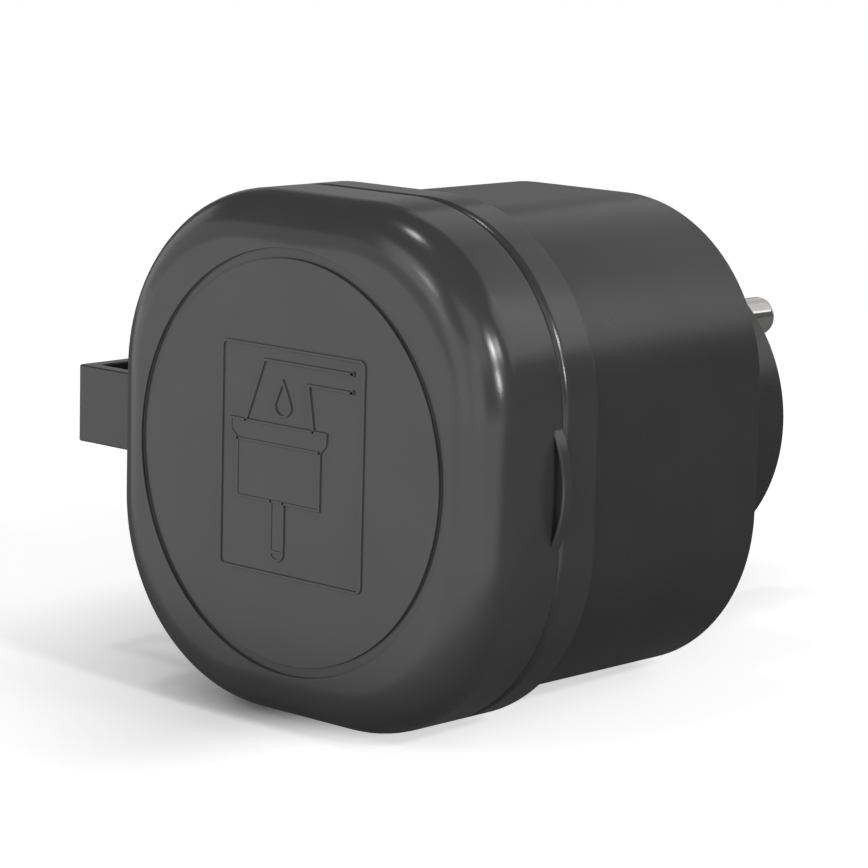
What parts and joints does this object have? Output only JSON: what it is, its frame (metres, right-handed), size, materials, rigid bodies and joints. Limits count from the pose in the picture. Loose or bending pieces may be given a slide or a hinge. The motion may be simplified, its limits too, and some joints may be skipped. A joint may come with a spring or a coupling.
{
  "type": "smart plug",
  "caption": "Outdoor smart plug adapter with an earthed two-pin plug, a covered socket, a strap-hinged lid with a pull lip, and a side button.",
  "frame": {"origin": "centre of the plug's contact face, which meets the floor of the wall outlet's recess", "axes": "+Y along the plug pins into the wall outlet, +Z up as the plug lies in the picture, +X towards the pull lip; -X is up when it is plugged in"},
  "size_m": [0.0766, 0.0843, 0.059],
  "materials": {
    "soft_black": "satin moulded elastomer, very fine grain",
    "case_black": "satin moulded ABS, very fine grain",
    "liner_grey": "matt moulded plastic",
    "insert_black": "matt glass-filled polyamide",
    "carrier_white": "matt moulded polyamide",
    "shutter_grey": "smooth moulded acetal",
    "silicone_grey": "soft silicone",
    "pin_nickel": "bright nickel plate",
    "contact_brass": "stamped brass",
    "strip_steel": "nickel-plated spring strip",
    "screw_steel": "zinc-plated steel",
    "board_green": "solder-masked glass-fibre board",
    "relay_black": "matt moulded case",
    "ferrite": "sintered ferrite",
    "winding_tape": "yellow insulating tape",
    "capacitor_yellow": "moulded box",
    "varistor_blue": "epoxy dip",
    "resistor_green": "flameproof coating",
    "capacitor_sleeve": "shrunk sleeve",
    "lamp_clear": "clear moulded polycarbonate",
    "lamp_white": "phosphor-filled package",
    "copper": "bare copper",
    "shield_tin": "tinned steel"
  },
  "bodies": {
    "housing": {"collar": "soft_black", "front_housing": "case_black", "rear_housing": "case_black", "plug_nose": "case_black", "socket_insert": "insert_black", "socket_floor": "insert_black", "plug_insert": "insert_black", "shutter_spring": "strip_steel", "contact_carrier": "carrier_white", "live_contact": "contact_brass", "neutral_contact": "contact_brass", "lower_earth_contact": "strip_steel", "upper_earth_contact": "strip_steel", "earth_socket": "contact_brass", "upper_pin": "pin_nickel", "lower_pin": "pin_nickel", "rim_gasket": "silicone_grey", "housing_screws": "screw_steel", "button_seal": "silicone_grey", "push_switch": "shield_tin", "side_board": "board_green", "status_led": "lamp_white", "light_pipe": "lamp_clear", "main_board": "board_green", "relay": "relay_black", "transformer_core": "ferrite", "transformer_winding": "winding_tape", "mains_capacitor": "capacitor_yellow", "varistor": "varistor_blue", "fuse_resistor": "resistor_green", "choke": "ferrite", "bulk_capacitors": "capacitor_sleeve", "current_shunt": "copper", "live_busbar": "copper", "neutral_busbar": "copper", "radio_board": "board_green", "radio_shield": "shield_tin", "antenna": "copper"},
    "strap": {"strap_web": "soft_black"},
    "lid": {"lid_shell": "soft_black", "lid_liner": "liner_grey", "lid_skirt": "liner_grey", "lid_seal": "silicone_grey"},
    "shutter": {"shutter": "shutter_grey"},
    "button": {"button": "soft_black", "switch_plunger": "relay_black"}
  },
  "joints": [
    {"name": "lid_fold", "type": "hinge", "parent": "strap", "child": "lid", "pos_m": [-0.04545, -0.0556, 0], "axis": [0, 0, -1], "range_deg": [0, 80]},
    {"name": "strap_fold", "type": "hinge", "parent": "housing", "child": "strap", "pos_m": [-0.04545, -0.0474, 0], "axis": [0, 0, -1], "range_deg": [0, 80]},
    {"name": "shutter_turn", "type": "hinge", "parent": "housing", "child": "shutter", "pos_m": [0, -0.03955, 0], "axis": [0, -1, 0], "range_deg": [0, 40], "stiffness_Nm_per_rad": 0.01},
    {"name": "button_press", "type": "slide", "parent": "housing", "child": "button", "axis": [1, 0, 0], "range_m": [0, 0.0005], "stiffness_N_per_m": 600}
  ],
  "couplings": [
    {"joint": "strap_fold", "follows": "lid_fold", "ratio": 1}
  ]
}
